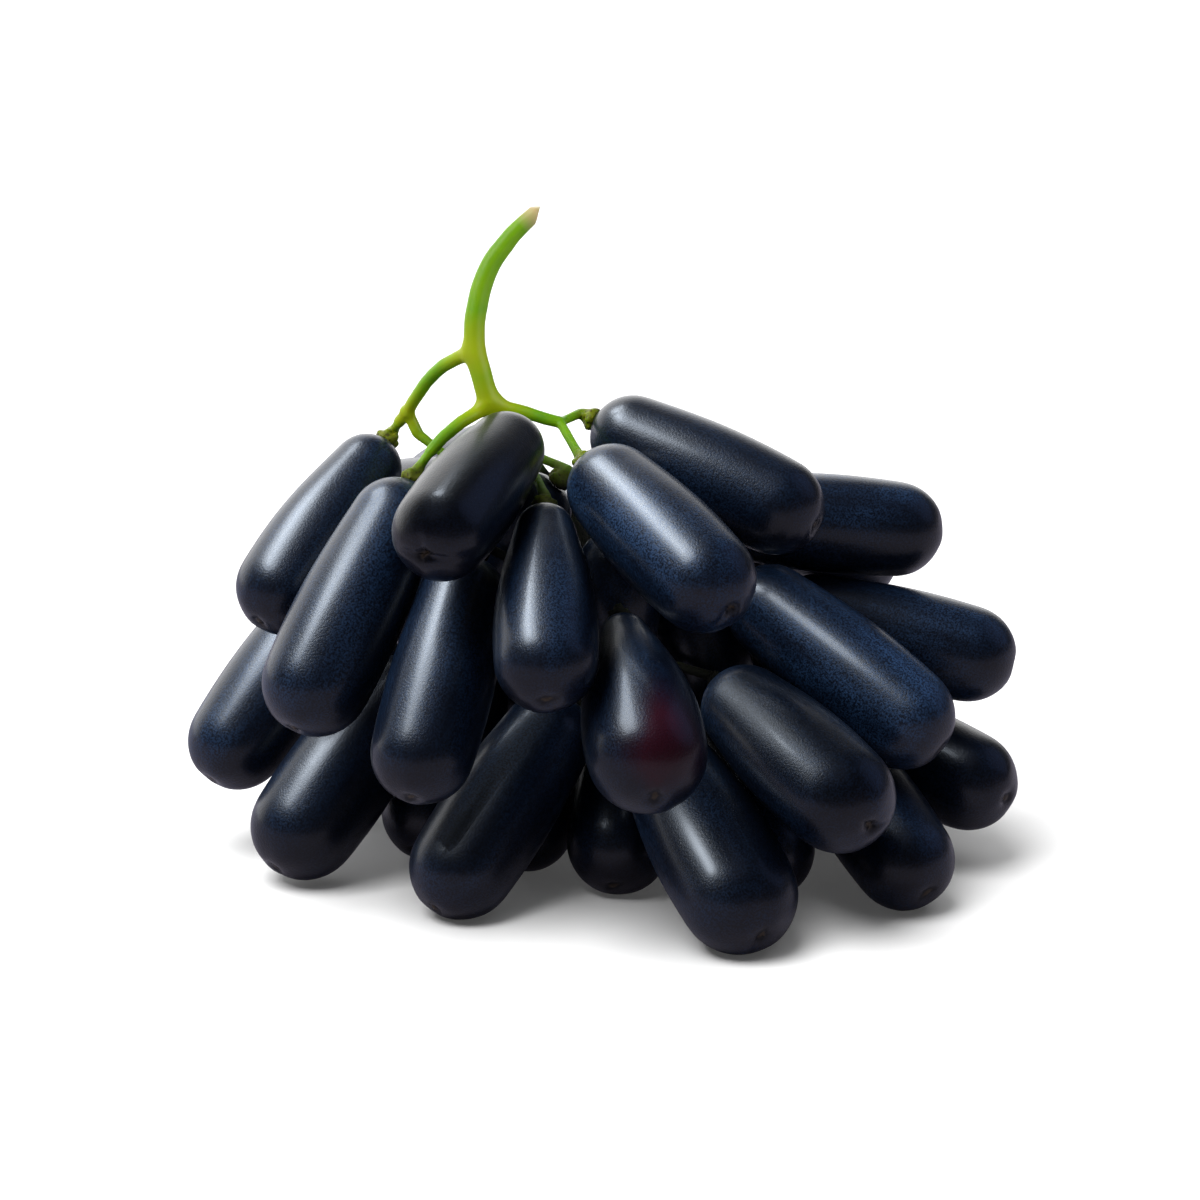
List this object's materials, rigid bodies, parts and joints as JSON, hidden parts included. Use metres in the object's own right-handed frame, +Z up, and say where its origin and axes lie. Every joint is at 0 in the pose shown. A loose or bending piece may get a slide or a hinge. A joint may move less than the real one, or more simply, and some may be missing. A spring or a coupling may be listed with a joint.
{
  "type": "bunch of grapes",
  "caption": "Bunch of long, finger-shaped black grapes on a green branching stem, resting in a heap on its lowest berries with the cut stalk upright.",
  "frame": {"origin": "centre of the bounding box at the table, z = 0 being the flat spots of the lowest berries", "axes": "+Z up; -Y the side that faces the picture's camera; +X to the right as seen from there, along the widest extent"},
  "size_m": [0.1596, 0.1402, 0.1279],
  "materials": {
    "grape_skin": "satin blue-black skin under a thin waxy bloom",
    "grape_stem": "fresh yellow-green, slightly waxy, olive and brown at the caps"
  },
  "bodies": {
    "root": {"berry_01": "grape_skin", "berry_02": "grape_skin", "berry_03": "grape_skin", "berry_04": "grape_skin", "berry_05": "grape_skin", "berry_06": "grape_skin", "berry_07": "grape_skin", "berry_08": "grape_skin", "berry_09": "grape_skin", "berry_10": "grape_skin", "berry_11": "grape_skin", "berry_12": "grape_skin", "berry_13": "grape_skin", "berry_14": "grape_skin", "berry_15": "grape_skin", "berry_16": "grape_skin", "berry_17": "grape_skin", "berry_18": "grape_skin", "berry_19": "grape_skin", "berry_20": "grape_skin", "berry_21": "grape_skin", "berry_22": "grape_skin", "berry_23": "grape_skin", "berry_24": "grape_skin", "berry_25": "grape_skin", "berry_26": "grape_skin", "berry_27": "grape_skin", "berry_28": "grape_skin", "berry_29": "grape_skin", "berry_30": "grape_skin", "berry_31": "grape_skin", "berry_32": "grape_skin", "berry_33": "grape_skin", "berry_34": "grape_skin", "berry_35": "grape_skin", "berry_36": "grape_skin", "berry_37": "grape_skin", "berry_38": "grape_skin", "berry_39": "grape_skin", "berry_40": "grape_skin", "berry_41": "grape_skin", "stem": "grape_stem"}
  },
  "joints": []
}
